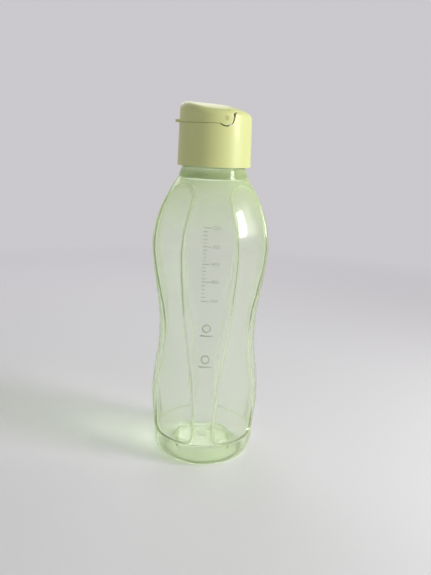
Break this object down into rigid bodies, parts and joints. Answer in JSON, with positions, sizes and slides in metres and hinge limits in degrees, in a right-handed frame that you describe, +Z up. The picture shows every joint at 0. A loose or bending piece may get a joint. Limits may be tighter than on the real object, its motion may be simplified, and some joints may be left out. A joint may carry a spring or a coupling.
{
  "type": "water bottle",
  "caption": "Waisted translucent drinking bottle with long curved panels, an opaque screw cap and a flip lid that closes over its spout.",
  "frame": {"origin": "centre of the foot, on the surface that the bottle stands on", "axes": "+Z up along the bottle, -X towards the lid's thumb tab, +X towards the lid's hinge, Y along the hinge pins"},
  "size_m": [0.0784, 0.0784, 0.2399],
  "materials": {
    "clear_green_plastic": "glossy translucent pale green, about 1.4 mm thick, slightly hazy",
    "cap_plastic": "satin opaque pale yellow-green",
    "spout_plastic": "smooth pale cream",
    "pin_plastic": "plain moulded pin, a shade darker than the cap",
    "silicone": "matte milky silicone"
  },
  "bodies": {
    "bottle": {"bottle_body": "clear_green_plastic"},
    "gasket": {"neck_gasket": "silicone"},
    "cap": {"cap_collar": "cap_plastic", "cap_liner": "cap_plastic", "spout": "spout_plastic", "spout_seal": "silicone", "hinge_pin_near": "pin_plastic", "hinge_pin_far": "pin_plastic"},
    "lid": {"flip_lid": "cap_plastic", "plug_carrier": "cap_plastic", "plug_seal": "silicone"}
  },
  "joints": [
    {"name": "cap_lift", "type": "slide", "parent": "bottle", "child": "gasket", "axis": [0, 0, 1], "range_m": [0, 0.0241]},
    {"name": "cap_turn", "type": "hinge", "parent": "gasket", "child": "cap", "pos_m": [0, 0, 0.2], "axis": [0, 0, 1], "range_deg": [0, 720]},
    {"name": "lid_flip", "type": "hinge", "parent": "cap", "child": "lid", "pos_m": [0.0066, 0, 0.23], "axis": [0, 1, 0], "range_deg": [0, 88]}
  ],
  "couplings": [
    {"joint": "cap_lift", "follows": "cap_turn", "m_per_rad": 0.0019099}
  ]
}
